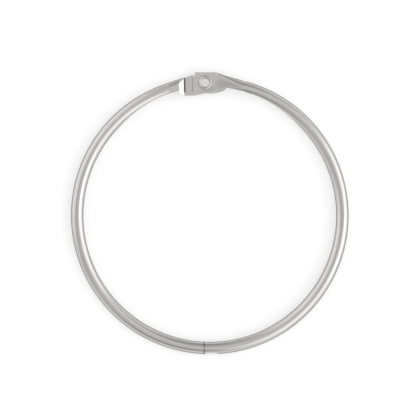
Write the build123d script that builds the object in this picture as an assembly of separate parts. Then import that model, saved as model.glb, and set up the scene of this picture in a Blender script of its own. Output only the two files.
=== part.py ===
from build123d import *
import math
import os

# Ring: the inside is a standard three inches, and the tube is rolled from one strip of sheet
inside_diameter = 76.2
tube_diameter = 3.7
sheet = 0.5
seam_gap = 0.3

tube_radius = tube_diameter / 2
centre_line = inside_diameter / 2 + tube_radius

# Hinge: the pivot, the plates that turn on it and the room between them
pivot_x = -1.4
pivot_y = centre_line
plate_half_height = 3.15
tongue_face = 0.55
side_play = 0.1
ear_face = tongue_face + side_play + sheet

# Eyelet: a hollow rivet with a rolled rim at each end
bore_radius = 1.3
barrel_radius = 1.55
rim_radius = 2.08
running_clearance = 0.05

# Ears of the fork, as seen from the front
ear_end_x = -5.36
ear_step_x = -4.67
ear_step_height = 0.75
ear_corner = 0.7
ear_flat_end_x = 1.6
ear_slope = [(3.7, 2.45), (6.1, 1.75)]
ear_slope_turn = -0.45
ear_shoulder = [(4.9, -1.65), (4.3, -2.4), (1.8, -3.15)]
ear_bevel = 0.2

# Fork walls between the tube and the flat ears: each section is a strip that lies level at its
# crest, turns down to an outer edge and down a little to its inner edge. A place is across, up,
# the turn is the slope at the edge in degrees, and fullness is how far the strip stays level.
fork_tube_angle = 15.0
fork_neck_angle = 11.5
fork_inner_depth = 1.3
fork_neck = dict(crest=(0, 1.72), outer=(1.95, -0.08, 90, 0.66), inner=(-1.75, 1.0, 48, 0.75))
fork_throat_x = 5.8
fork_throat = dict(crest=(-0.2, 1.48), outer=(2.0, 0.2, 88, 0.8), inner=(-2.45, 0.8, 50, 0.85))
fork_slit_x = 3.7
fork_slit = dict(crest=(-0.1, 1.28), outer=(2.85, 0.62, 60, 0.88), inner=(-3.3, 0.55, 48, 0.88))

# Tongue and the ramp that drops to it from the tube
ramp_top_x = -9.28
ramp_foot_x = -7.7
tongue_tube_angle = 18.0
tongue_inner_depth = 1.4
tongue_neck = dict(crest=(-0.75, tube_radius), outer=(1.1, 0, 90, 0.62), inner=(-3.3, 1.2, 40, 0.7))
tongue_end_radius = 3.1
tongue_top_y = 41.5
tongue_foot_y = 36.1
tongue_bend_x = -4.6
tongue_round = 0.2
tongue_fold = 0.8

# Crease that the die leaves across the tongue at the foot of the ramp
crease_x = -7.62
crease_width = 0.5
crease_depth = 0.16

# Seam: it opens towards the hinge, where the strip grows narrower
opening_radius = 36.5
opening_shift = 2.35

# Snap closure opposite the hinge
joint_x = -1.63
joint_bow = 3.6
joint_gap = 0.12
joint_angle = 182.3
joint_reach = 1.5
nose_radius = 1.15
nose_length = 3.4
shoulder_thickness = 0.6
mouth_round = 0.3
flat_end_x = 2.62
flat_depth = 0.3

# Reach of cutters and blanks past what they cut, and how near counts as touching
reach = 10.0
touching = 0.01

# Slope of an edge that stands upright, and the fullness that means part of a circle
upright = 90.0
round_arc = 0.0


def radial_plane(angle):
    """Plane across the ring at an angle clockwise from the hinge, X outwards and Y up."""
    turn = math.radians(angle)
    outward = Vector(math.sin(turn), math.cos(turn), 0)
    return Plane(outward * centre_line, x_dir=outward, z_dir=outward.cross(Vector(0, 0, 1)))


def upright_plane(x):
    """Plane across the hinge at a place along it, X towards the outside of the ring and Y up."""
    return Plane((x, pivot_y, 0), x_dir=(0, 1, 0), z_dir=(1, 0, 0))


def wall_curve(crest, edge, inset):
    """Curve of a wall from its level crest to its edge, at a depth in the sheet."""
    across, up, turn, fullness = edge
    side = 1 if across > crest[0] else -1
    slope = math.radians(turn)
    start = Vector(crest[0], crest[1] - inset)
    end = Vector(across - side * inset * math.sin(slope), up - inset * math.cos(slope))
    if turn == 0:
        return Line(start, end)
    if fullness == round_arc:
        radius = (start.Y - end.Y) / (1 - math.cos(slope))
        middle = Vector(side * math.sin(slope / 2), math.cos(slope / 2) - 1) * radius
        return ThreePointArc(start, start + middle, end)
    corner = Vector(end.X - side * (start.Y - end.Y) / math.tan(slope), start.Y)
    return Bezier(start, start + (corner - start) * fullness, end + (corner - end) * fullness, end)


def wall_section(plane, crest, outer, inner):
    """Section of one side of a half: a strip of sheet that curls both ways from its crest."""
    outside = [wall_curve(crest, edge, 0) for edge in (outer, inner)]
    inside = [wall_curve(crest, edge, sheet) for edge in (outer, inner)]
    ends = [Line(a @ 1, b @ 1) for a, b in zip(outside, inside)]
    return plane * Face(Wire([*outside, *inside, *ends]))


def tube_section(angle, depth):
    """Section of half the tube, cut back on the inside of the ring to a depth below its middle."""
    turn = math.degrees(math.asin(depth / tube_radius))
    inner = (-depth, math.sqrt(tube_radius**2 - depth**2), turn, round_arc)
    outer = (tube_radius, 0, upright, round_arc)
    return wall_section(radial_plane(angle), (0, tube_radius), outer, inner)


def both_sides(side):
    """A side and its mirror image on the far side of the ring's middle plane."""
    return side + mirror(side, about=Plane.XY)


def tube(first_angle, last_angle):
    """Rolled tube with its seam facing the ring's centre, between two angles clockwise."""
    ring = Circle(tube_radius) - Circle(tube_radius - sheet)
    seam = Pos(-tube_radius, 0) * Rectangle(tube_diameter, seam_gap)
    section = radial_plane(last_angle) * (ring - seam)
    return revolve(section, Axis.Z, last_angle - first_angle)


def prism(outline):
    """Upright cutter of an outline, taller than the ring."""
    return extrude(Pos(0, 0, -reach / 2) * outline, reach)


def seam_opening(side, shoulder_x):
    """Cutter that narrows the strip from the tube up to the shoulder beside the hinge."""
    circle = Pos(0, opening_shift) * Circle(opening_radius)
    half = Pos(side * centre_line, 0) * Rectangle(2 * centre_line, 2 * centre_line)
    hinge_zone = Pos(shoulder_x - side * reach, pivot_y) * Rectangle(2 * reach, 2 * reach)
    return prism((circle & half) - hinge_zone)


def pivot_hole(radius):
    """Cutter for a round hole about the pivot."""
    return Pos(pivot_x, pivot_y) * Cylinder(radius, reach)


def joint_circle(radius):
    """Cutter with the bowed outline of the closure, whose left side is where the halves meet."""
    return Pos(joint_x + joint_bow, -centre_line) * Cylinder(radius, reach)


def past_joint():
    """Room on the left of the closure, up to the middle of its bowed outline."""
    return Pos(joint_x + joint_bow - reach, -centre_line) * Box(2 * reach, reach, reach)


def face_edges(shape, height):
    """Edges of a shape that lie level, at a height above or below the ring's middle plane."""
    edges = shape.edges()
    above = edges.filter_by_position(Axis.Z, height - touching, height + touching)
    below = edges.filter_by_position(Axis.Z, -height - touching, touching - height)
    return above + below


def bevelled_ears(half):
    """The fork half, with the outer edges of its flat ears bevelled."""
    edges = face_edges(half, ear_face).filter_by(GeomType.LINE)
    edges = edges.filter_by_position(Axis.X, ear_end_x, ear_flat_end_x - touching)
    edges = edges.filter_by_position(Axis.Y, pivot_y - reach, pivot_y + reach)
    return chamfer(edges, ear_bevel)


def ear_walls():
    """One wall of the fork, from half of the round tube to a flat ear."""
    edge = plate_half_height + sheet
    level = dict(crest=(0, ear_face), outer=(edge, ear_face, 0, 0), inner=(-edge, ear_face, 0, 0))
    sections = [
        tube_section(fork_tube_angle, fork_inner_depth),
        wall_section(radial_plane(fork_neck_angle), **fork_neck),
        wall_section(upright_plane(fork_throat_x), **fork_throat),
        wall_section(upright_plane(fork_slit_x), **fork_slit),
        wall_section(upright_plane(ear_flat_end_x), **level),
    ]
    return loft(sections) + extrude(sections[-1], reach, dir=(-1, 0, 0))


def ear_outline():
    """Front view of an ear, with room for the tube on its right."""
    top = pivot_y + plate_half_height
    foot = pivot_y - plate_half_height
    far = (2 * reach, pivot_y - tube_diameter)
    slope = Spline(
        (ear_flat_end_x, top),
        *[(x, pivot_y + rise) for x, rise in ear_slope],
        far,
        tangents=[(1, 0), (1, ear_slope_turn)],
    )
    sides = Polyline(
        far,
        (far[0], 0),
        (ear_shoulder[0][0], 0),
        *[(x, pivot_y + rise) for x, rise in ear_shoulder],
        (ear_end_x, foot),
        (ear_end_x, top - ear_step_height - ear_corner),
        (ear_step_x, top - ear_step_height),
        (ear_step_x, top),
        (ear_flat_end_x, top),
    )
    return make_face([slope, sides])


def fork_half():
    """Right half of the ring: a tube that opens into the fork and ends in the closure's mouth."""
    hinge = both_sides(ear_walls()) & prism(ear_outline())
    half = hinge + tube(fork_tube_angle, joint_angle + joint_reach)
    half -= seam_opening(1, ear_shoulder[0][0])
    half -= pivot_hole(barrel_radius)
    half -= past_joint() - joint_circle(joint_bow)
    flat = Pos(flat_end_x - reach / 2, -centre_line - tube_radius) * Box(reach, 2 * flat_depth, reach)
    return bevelled_ears(half - flat)


def tangent_point(point, turn):
    """Place where a line from a point touches the tongue's round end, by the side it passes on."""
    away_x = point[0] - pivot_x
    away_y = point[1] - pivot_y
    angle = math.atan2(away_y, away_x)
    angle += turn * math.acos(tongue_end_radius / math.hypot(away_x, away_y))
    return (pivot_x + tongue_end_radius * math.cos(angle), pivot_y + tongue_end_radius * math.sin(angle))


def tongue_outline():
    """Front view of the tongue, from the foot of the ramp to its round end about the pivot."""
    top = (ramp_foot_x, tongue_top_y)
    foot = (ramp_foot_x, tongue_foot_y)
    bend = (tongue_bend_x, tongue_foot_y)
    corners = [top, foot, bend, tangent_point(bend, 1), (pivot_x, pivot_y), tangent_point(top, -1)]
    return Polygon(*corners, align=None) + Pos(pivot_x, pivot_y) * Circle(tongue_end_radius)


def tongue_wall():
    """One wall of the tongue half's hinge end, from half of the round tube to one flat layer."""
    top = tongue_top_y - pivot_y
    foot = tongue_foot_y - pivot_y
    neck = [
        tube_section(-tongue_tube_angle, tongue_inner_depth),
        wall_section(upright_plane(ramp_top_x), **tongue_neck),
    ]
    ramp_foot = wall_section(
        upright_plane(ramp_foot_x),
        (top - tongue_face, tongue_face),
        (top, 0, upright, tongue_fold),
        (foot, tongue_face, 0, 0),
    )
    return loft(neck) + loft([neck[-1], ramp_foot], ruled=True)


def crease():
    """Cutter that rounds one face of the tongue down to the foot of the ramp."""
    radius = (crease_width**2 + crease_depth**2) / (2 * crease_depth)
    block = Box(crease_width, 2 * reach, 2 * radius, align=(Align.MAX, Align.CENTER, Align.CENTER))
    bend = Rot(90, 0, 0) * Cylinder(radius, 2 * reach)
    return Pos(ramp_foot_x + crease_width, pivot_y, tongue_face - radius) * (block - bend)


def tongue_plate():
    """Flattened end of the tube: two layers of sheet, folded together along the outer edge."""
    outline = tongue_outline()
    plate = extrude(Pos(0, 0, -tongue_face) * outline, 2 * tongue_face)
    rims = face_edges(plate, tongue_face)
    rims = rims.filter_by_position(Axis.X, ramp_foot_x + touching, pivot_x + reach)
    plate = fillet(rims, tongue_round) - both_sides(crease())
    slit = tongue_face - sheet
    return plate - extrude(Pos(sheet, -sheet, -slit) * outline, 2 * slit)


def nose_at(x, radius):
    """Round section of the nose at a place along it, on the arc that it swings through."""
    swing = math.hypot(joint_x - pivot_x, pivot_y + centre_line)
    turn = math.asin((x - pivot_x) / swing)
    plane = Plane(
        (pivot_x + swing * math.sin(turn), pivot_y - swing * math.cos(turn), 0),
        x_dir=(math.sin(turn), -math.cos(turn), 0),
        z_dir=(math.cos(turn), math.sin(turn), 0),
    )
    return plane, plane * Circle(radius), math.degrees(turn)


def nose_rod(first_x, last_x, radius):
    """Rod with a round tip along the nose's arc."""
    _, start, first_turn = nose_at(first_x, radius)
    tip, _, last_turn = nose_at(last_x, radius)
    swing_axis = Axis((pivot_x, pivot_y, 0), (0, 0, 1))
    return revolve(start, swing_axis, last_turn - first_turn) + Pos(tip.origin) * Sphere(radius)


def tongue_half():
    """Left half of the ring: a tube flattened into the tongue, with the closure's nose on its end."""
    half = both_sides(tongue_wall()) + tube(joint_angle - joint_reach, 360 - tongue_tube_angle)
    half -= seam_opening(-1, ramp_top_x)
    half += tongue_plate()
    half -= pivot_hole(barrel_radius + running_clearance)
    shoulder = radial_plane(joint_angle + joint_reach) * Circle(tube_radius)
    half += revolve(shoulder, Axis.Z, 2 * joint_reach)
    half -= joint_circle(joint_bow + joint_gap)
    tip_x = joint_x + nose_length - nose_radius
    half += nose_rod(joint_x - shoulder_thickness, tip_x, nose_radius)
    half -= nose_rod(joint_x - 2 * tube_radius, tip_x, nose_radius - sheet)
    seam_length = tip_x - joint_x + 2 * tube_radius
    seam = Box(seam_length, tube_diameter, seam_gap, align=(Align.MAX, Align.MIN, Align.CENTER))
    return half - Pos(tip_x, -centre_line) * seam


def hinge_eyelet():
    """Hollow rivet through the ears and the tongue, rolled over into a round rim at each end."""
    rim_middle = (bore_radius + rim_radius) / 2
    rim_height = ear_face + (rim_radius - bore_radius) / 2
    profile = [
        Line((bore_radius, -ear_face), (bore_radius, ear_face)),
        ThreePointArc((bore_radius, ear_face), (rim_middle, rim_height), (rim_radius, ear_face)),
        Polyline(
            (rim_radius, ear_face),
            (barrel_radius, ear_face),
            (barrel_radius, -ear_face),
            (rim_radius, -ear_face),
        ),
        ThreePointArc((rim_radius, -ear_face), (rim_middle, -rim_height), (bore_radius, -ear_face)),
    ]
    return Pos(pivot_x, pivot_y) * revolve(Plane.XZ * make_face(profile), Axis.Z)


nodes = {
    "fork_half": fork_half(),
    "tongue_half": tongue_half(),
    "hinge_eyelet": hinge_eyelet(),
}

os.makedirs("parts", exist_ok=True)
for name, shape in nodes.items():
    export_step(shape, f"parts/{name}.step")
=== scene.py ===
"""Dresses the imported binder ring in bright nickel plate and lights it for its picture."""

import logging
import math
from dataclasses import dataclass
from enum import Enum
from typing import Any, Dict, Optional, Sequence, Tuple, Union

import bmesh
import bpy
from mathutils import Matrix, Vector


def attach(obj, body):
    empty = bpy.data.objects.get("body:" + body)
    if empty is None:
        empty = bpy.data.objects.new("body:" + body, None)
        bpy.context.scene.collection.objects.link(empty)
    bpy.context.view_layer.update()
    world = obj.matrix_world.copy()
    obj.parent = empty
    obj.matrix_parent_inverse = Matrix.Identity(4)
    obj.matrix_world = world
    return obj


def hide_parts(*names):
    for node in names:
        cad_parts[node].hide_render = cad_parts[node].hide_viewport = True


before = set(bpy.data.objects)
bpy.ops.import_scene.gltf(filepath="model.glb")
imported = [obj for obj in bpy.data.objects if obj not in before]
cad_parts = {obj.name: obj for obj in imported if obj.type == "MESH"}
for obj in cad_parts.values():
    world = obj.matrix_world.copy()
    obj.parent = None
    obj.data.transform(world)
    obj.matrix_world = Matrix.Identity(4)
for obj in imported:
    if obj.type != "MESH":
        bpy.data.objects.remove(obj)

log = logging.getLogger("binder_ring")

Number = Union[int, float]
Colour = Tuple[float, float, float]
MM = 0.001
UP = Vector((0, 0, 1))


class Body(Enum):
    """The two halves that turn about the rivet."""

    FORK = "fork_side"
    TONGUE = "tongue_side"


class Socket:
    """One output of a shader node, on which sums can be written as Python expressions."""

    def __init__(self, sheet: "NodeSheet", out: Any) -> None:
        """Keeps the output and the node sheet that it belongs to."""
        self.sheet = sheet
        self.out = out

    def maths(self, operation: str, *others: Union["Socket", Number]) -> "Socket":
        """Adds one Math node.

        Args:
            operation: the Math node's operation.
            others: its other inputs, in order.

        Returns:
            The node's result.
        """
        inputs = {index: value for index, value in enumerate((self,) + others)}
        return self.sheet.add("ShaderNodeMath", {"operation": operation}, inputs)

    def __add__(self, other: Union["Socket", Number]) -> "Socket":
        """The sum."""
        return self.maths("ADD", other)

    __radd__ = __add__

    def __mul__(self, other: Union["Socket", Number]) -> "Socket":
        """The product."""
        return self.maths("MULTIPLY", other)

    __rmul__ = __mul__

    def __sub__(self, other: Union["Socket", Number]) -> "Socket":
        """The difference."""
        return self.maths("SUBTRACT", other)

    def __rsub__(self, other: Number) -> "Socket":
        """A number less this value."""
        return self.maths("MULTIPLY", -1.0).maths("ADD", other)

    def __truediv__(self, other: Union["Socket", Number]) -> "Socket":
        """The quotient."""
        return self.maths("DIVIDE", other)

    def clamp(self) -> "Socket":
        """This value, kept between 0 and 1."""
        return self.maths("MAXIMUM", 0.0).maths("MINIMUM", 1.0)

    def dot(self, axis: Vector) -> "Socket":
        """How far this vector points along an axis.

        Args:
            axis: the axis, one unit long.

        Returns:
            The length along it.
        """
        inputs = {0: self, 1: tuple(axis)}
        return self.sheet.add("ShaderNodeVectorMath", {"operation": "DOT_PRODUCT"}, inputs, output="Value")

    def step(self, low: float, high: float) -> "Socket":
        """Rises smoothly from 0 at low to 1 at high.

        Args:
            low: the value at which the rise starts.
            high: the value at which it ends, which may be the lower of the two.

        Returns:
            The smooth step.
        """
        part = ((self - low) / (high - low)).clamp()
        return part * part * (3.0 - 2.0 * part)


class NodeSheet:
    """The node tree of one material or of the world."""

    def __init__(self, tree: bpy.types.NodeTree) -> None:
        """Empties the tree."""
        self.tree = tree
        self.tree.nodes.clear()

    def add(
        self,
        kind: str,
        settings: Optional[Dict[str, Any]] = None,
        inputs: Optional[Dict[Union[str, int], Any]] = None,
        output: Union[str, int] = 0,
    ) -> Socket:
        """Adds any node.

        Args:
            kind: the node's type.
            settings: what is set on the node itself, before its sockets.
            inputs: values or sockets for its inputs, by name or number.
            output: which output is wanted.

        Returns:
            That output.
        """
        node = self.tree.nodes.new(kind)
        for name, value in (settings or {}).items():
            setattr(node, name, value)
        for name, value in (inputs or {}).items():
            if isinstance(value, Socket):
                self.tree.links.new(value.out, node.inputs[name])
            else:
                node.inputs[name].default_value = value
        return Socket(self, node.outputs[output] if node.outputs else None)


def new_sheet(name: str) -> Tuple[bpy.types.Material, NodeSheet]:
    """Starts a material.

    Args:
        name: its name.

    Returns:
        The material and its empty node sheet.
    """
    material = bpy.data.materials.new(name)
    material.use_nodes = True
    return material, NodeSheet(material.node_tree)


@dataclass(frozen=True)
class PaintedShadeBand:
    """A narrow band of painted shade, where the plate's colour is darkened and its roughness raised, with
    its places and widths in millimetres.
    """

    start: Tuple[float, float]
    end: Tuple[float, float]
    half_width: float
    soft: float
    depth: float = 1.0

    def mask(self, place: Socket) -> Socket:
        """How much of the band shows at a place.

        Args:
            place: the place on the piece, in metres.

        Returns:
            The band's depth inside it, and 0 away from it.
        """
        start, end = Vector((*self.start, 0)) * MM, Vector((*self.end, 0)) * MM
        along = (end - start).normalized()
        across = Vector((-along.y, along.x, 0))
        length, half, soft = (end - start).length, self.half_width * MM, self.soft * MM
        run = place.dot(along) - start.dot(along)
        side = (place.dot(across) - start.dot(across)).maths("ABSOLUTE")
        ends = run.step(-soft, soft) * run.step(length + soft, length - soft)
        return self.depth * ends * side.step(half + soft, half)


@dataclass(frozen=True)
class NickelPlate:
    """Bright nickel plate on steel sheet."""

    name: str
    colour: Colour = (0.59, 0.575, 0.57)
    shade: Colour = (0.55, 0.535, 0.53)
    edge_tint: Colour = (0.05, 0.05, 0.05)
    roughness: float = 0.07
    roughness_spread: float = 0.04
    cloud_scale: float = 260.0
    cloud_detail: float = 3.0
    ripple_scale: float = 900.0
    ripple_detail: float = 2.0
    ripple_height: float = 0.004 * MM
    # painted shade: the dark colour drawn into the plate's colour inside the bands, where shade falls in a
    # fold, a joint or a step
    painted_shade_colour: Colour = (0.13, 0.125, 0.12)
    dulled_roughness: float = 0.3
    painted_shade_bands: Tuple[PaintedShadeBand, ...] = ()

    def material(self) -> bpy.types.Material:
        """Builds the finish.

        Returns:
            The material.
        """
        material, sheet = new_sheet(self.name)
        place = sheet.add("ShaderNodeTexCoord", output="Object")
        cloud = self.noise(sheet, place, self.cloud_scale, self.cloud_detail)
        ripple = self.noise(sheet, place, self.ripple_scale, self.ripple_detail)
        colour = self.mixed(sheet, cloud, (*self.shade, 1.0), (*self.colour, 1.0))
        roughness = self.roughness + self.roughness_spread * cloud
        # painted shade: each band darkens the plate's colour where shade falls, and raises its roughness
        for band in self.painted_shade_bands:
            share = band.mask(place)
            colour = self.mixed(sheet, share, colour, (*self.painted_shade_colour, 1.0))
            roughness = roughness + self.dulled_roughness * share
        bump = sheet.add(
            "ShaderNodeBump", inputs={"Height": ripple, "Distance": self.ripple_height, "Strength": 1.0}
        )
        surface = sheet.add(
            "ShaderNodeBsdfPrincipled",
            inputs={
                "Base Color": colour,
                "Metallic": 1.0,
                "Specular Tint": (*self.edge_tint, 1.0),
                "Roughness": roughness,
                "Normal": bump,
            },
        )
        sheet.add("ShaderNodeOutputMaterial", inputs={"Surface": surface})
        return material

    @staticmethod
    def noise(sheet: NodeSheet, place: Socket, scale: float, detail: float) -> Socket:
        """A soft random pattern through the piece.

        Args:
            sheet: the node sheet.
            place: the place on the piece, in metres.
            scale: how fine the pattern is.
            detail: how many finer layers it has.

        Returns:
            The pattern, from 0 to 1.
        """
        inputs = {"Vector": place, "Scale": scale, "Detail": detail}
        return sheet.add("ShaderNodeTexNoise", inputs=inputs)

    @staticmethod
    def mixed(sheet: NodeSheet, share: Socket, first: Any, second: Any) -> Socket:
        """Mixes two colours.

        Args:
            sheet: the node sheet.
            share: how much of the second colour shows.
            first: a colour or a socket.
            second: another.

        Returns:
            The mixed colour.
        """
        inputs = {0: share, 6: first, 7: second}
        return sheet.add("ShaderNodeMix", {"data_type": "RGBA"}, inputs, output=2)


@dataclass
class Piece:
    """A pressed piece whose skin is a smooth copy of its solid."""

    node: str
    body: Body
    finish: NickelPlate
    crease: float = math.radians(32.0)
    weld: float = 0.0005 * MM

    def build(self) -> bpy.types.Object:
        """Copies the solid's skin, welds it and rounds its shading.

        Returns:
            The piece.
        """
        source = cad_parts[self.node]
        mesh = source.data.copy()
        mesh.name = self.node + "_skin"
        work = bmesh.new()
        work.from_mesh(mesh)
        bmesh.ops.remove_doubles(work, verts=work.verts, dist=self.weld)
        for face in work.faces:
            face.smooth = True
        for edge in work.edges:
            edge.smooth = edge.is_manifold and edge.calc_face_angle(math.pi) < self.crease
        work.to_mesh(mesh)
        work.free()
        piece = bpy.data.objects.new(self.node + "_skin", mesh)
        bpy.context.scene.collection.objects.link(piece)
        mesh.materials.clear()
        mesh.materials.append(self.finish.material())
        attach(piece, self.body.value)
        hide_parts(self.node)
        return piece


@dataclass(frozen=True)
class Glow:
    """A bright or dark area of the studio, as a direction and a soft edge, with angles in degrees."""

    compass: float
    from_top: float
    inner: float
    outer: float
    strength: float

    def axis(self) -> Vector:
        """Direction from the ring to the middle of the area.

        Returns:
            The direction, one unit long.
        """
        turn, lean = math.radians(self.compass), math.radians(self.from_top)
        return Vector((math.sin(lean) * math.sin(turn), math.sin(lean) * math.cos(turn), math.cos(lean)))

    def add_to(self, direction: Socket) -> Socket:
        """Adds the area to the world.

        Args:
            direction: where a ray points.

        Returns:
            What the area adds there.
        """
        edge, middle = math.cos(math.radians(self.outer)), math.cos(math.radians(self.inner))
        return self.strength * direction.dot(self.axis()).step(edge, middle)


@dataclass
class Studio:
    """The floor, the light round the ring and the camera above it."""

    floor_height: float = -1.87 * MM
    floor_side: float = 6.0
    floor_white: float = 0.97
    floor_glow: float = 0.45
    floor_glow_strength: float = 1.15
    camera_height: float = 1.2
    sensor_width: float = 36.0
    view_width: float = 125.3 * MM
    view_x: float = -0.54 * MM
    view_y: float = 2.23 * MM
    top_strength: float = 0.85
    middle_strength: float = 0.73
    edge_strength: float = 1.03
    top_rise: Tuple[float, float] = (0.85, 0.97)
    edge_rise: Tuple[float, float] = (0.5, 0.15)
    glows: Tuple[Glow, ...] = (
        Glow(compass=84, from_top=62, inner=14, outer=36, strength=0.9),
        Glow(compass=130, from_top=50, inner=14, outer=38, strength=0.8),
        Glow(compass=295, from_top=64, inner=16, outer=44, strength=0.42),
        Glow(compass=50, from_top=34, inner=6, outer=24, strength=0.3),
        Glow(compass=200, from_top=56, inner=6, outer=28, strength=-0.25),
        Glow(compass=15, from_top=46, inner=4, outer=26, strength=-0.2),
        Glow(compass=135, from_top=96, inner=4, outer=20, strength=-0.6),
        Glow(compass=0, from_top=86, inner=8, outer=32, strength=-0.5),
        Glow(compass=264, from_top=17, inner=5, outer=16, strength=-0.2),
        Glow(compass=84, from_top=12, inner=3, outer=9, strength=-0.12),
    )

    def lay_floor(self) -> None:
        """Lays the white floor."""
        work = bmesh.new()
        bmesh.ops.create_grid(work, x_segments=1, y_segments=1, size=self.floor_side / 2)
        bmesh.ops.translate(work, verts=work.verts, vec=(0, 0, self.floor_height))
        mesh = bpy.data.meshes.new("floor")
        work.to_mesh(mesh)
        work.free()
        floor = bpy.data.objects.new("floor", mesh)
        bpy.context.scene.collection.objects.link(floor)
        mesh.materials.append(self.floor_finish())

    def floor_finish(self) -> bpy.types.Material:
        """White ground that shows as white and keeps a soft shadow.

        Returns:
            The material.
        """
        material, sheet = new_sheet("white_ground")
        seen = self.ray(sheet, "Is Camera Ray") + self.ray(sheet, "Is Glossy Ray")
        seen = (seen + self.ray(sheet, "Is Transmission Ray")).clamp()
        white = (self.floor_white, self.floor_white, self.floor_white, 1.0)
        matt = sheet.add("ShaderNodeBsdfDiffuse", inputs={"Color": white})
        glow = sheet.add("ShaderNodeEmission", inputs={"Strength": self.floor_glow_strength})
        surface = sheet.add("ShaderNodeMixShader", inputs={0: seen * self.floor_glow, 1: matt, 2: glow})
        sheet.add("ShaderNodeOutputMaterial", inputs={"Surface": surface})
        return material

    @staticmethod
    def ray(sheet: NodeSheet, kind: str) -> Socket:
        """Whether a ray is of one kind, as 1 or 0."""
        return sheet.add("ShaderNodeLightPath", output=kind)

    def light_world(self) -> None:
        """Lights the ring from all round, most from a wide soft box on its right."""
        world = bpy.data.worlds.new("studio")
        world.use_nodes = True
        bpy.context.scene.world = world
        sheet = NodeSheet(world.node_tree)
        direction = sheet.add("ShaderNodeTexCoord", output="Generated")
        up = direction.dot(UP)
        light = self.middle_strength + (self.top_strength - self.middle_strength) * up.step(*self.top_rise)
        light = light + (self.edge_strength - self.middle_strength) * up.step(*self.edge_rise)
        for glow in self.glows:
            light = light + glow.add_to(direction)
        camera = self.ray(sheet, "Is Camera Ray")
        strength = light * (1.0 - camera) + camera
        background = sheet.add("ShaderNodeBackground", inputs={"Color": (1, 1, 1, 1), "Strength": strength})
        sheet.add("ShaderNodeOutputWorld", inputs={"Surface": background})

    def set_camera(self) -> None:
        """Puts the camera straight above the ring."""
        data = bpy.data.cameras.new("camera")
        data.sensor_width = self.sensor_width
        data.lens = data.sensor_width * self.camera_height / self.view_width
        camera = bpy.data.objects.new("camera", data)
        camera.location = (self.view_x, self.view_y, self.camera_height)
        bpy.context.scene.collection.objects.link(camera)
        bpy.context.scene.camera = camera

    def build(self) -> None:
        """Sets the whole studio."""
        self.lay_floor()
        self.light_world()
        self.set_camera()
        bpy.context.scene.view_settings.view_transform = "Standard"


@dataclass
class BinderRing:
    """The two half rings and the hollow rivet that joins them."""

    # painted shade: dark bands in the plate's colour in the fold at the foot of the ramp, along the closure
    # joint and beside the ear's cut edge, where shade falls
    fold: PaintedShadeBand = PaintedShadeBand((-7.62, 41.3), (-7.52, 37.0), half_width=0.18, soft=0.1)
    joint: PaintedShadeBand = PaintedShadeBand((-1.66, -37.8), (-1.66, -42.2), half_width=0.1, soft=0.07)
    cut_edge: PaintedShadeBand = PaintedShadeBand((-5.2, 42.7), (-5.2, 36.95), half_width=0.08, soft=0.08, depth=0.45)

    def build(self) -> None:
        """Builds the three pieces and reports each."""
        fork_plate = NickelPlate("nickel_fork", painted_shade_bands=(self.cut_edge,))
        tongue_plate = NickelPlate("nickel_tongue", painted_shade_bands=(self.fold, self.joint))
        for piece in (
            Piece("fork_half", Body.FORK, fork_plate),
            Piece("tongue_half", Body.TONGUE, tongue_plate),
            Piece("hinge_eyelet", Body.FORK, NickelPlate("nickel_eyelet")),
        ):
            made = piece.build()
            log.info("%s: %d faces", made.name, len(made.data.polygons))


def main() -> None:
    """Builds the studio and the ring."""
    logging.basicConfig(level=logging.INFO, format="%(name)s: %(message)s")
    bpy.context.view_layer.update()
    Studio().build()
    BinderRing().build()


if __name__ == "__main__":
    main()
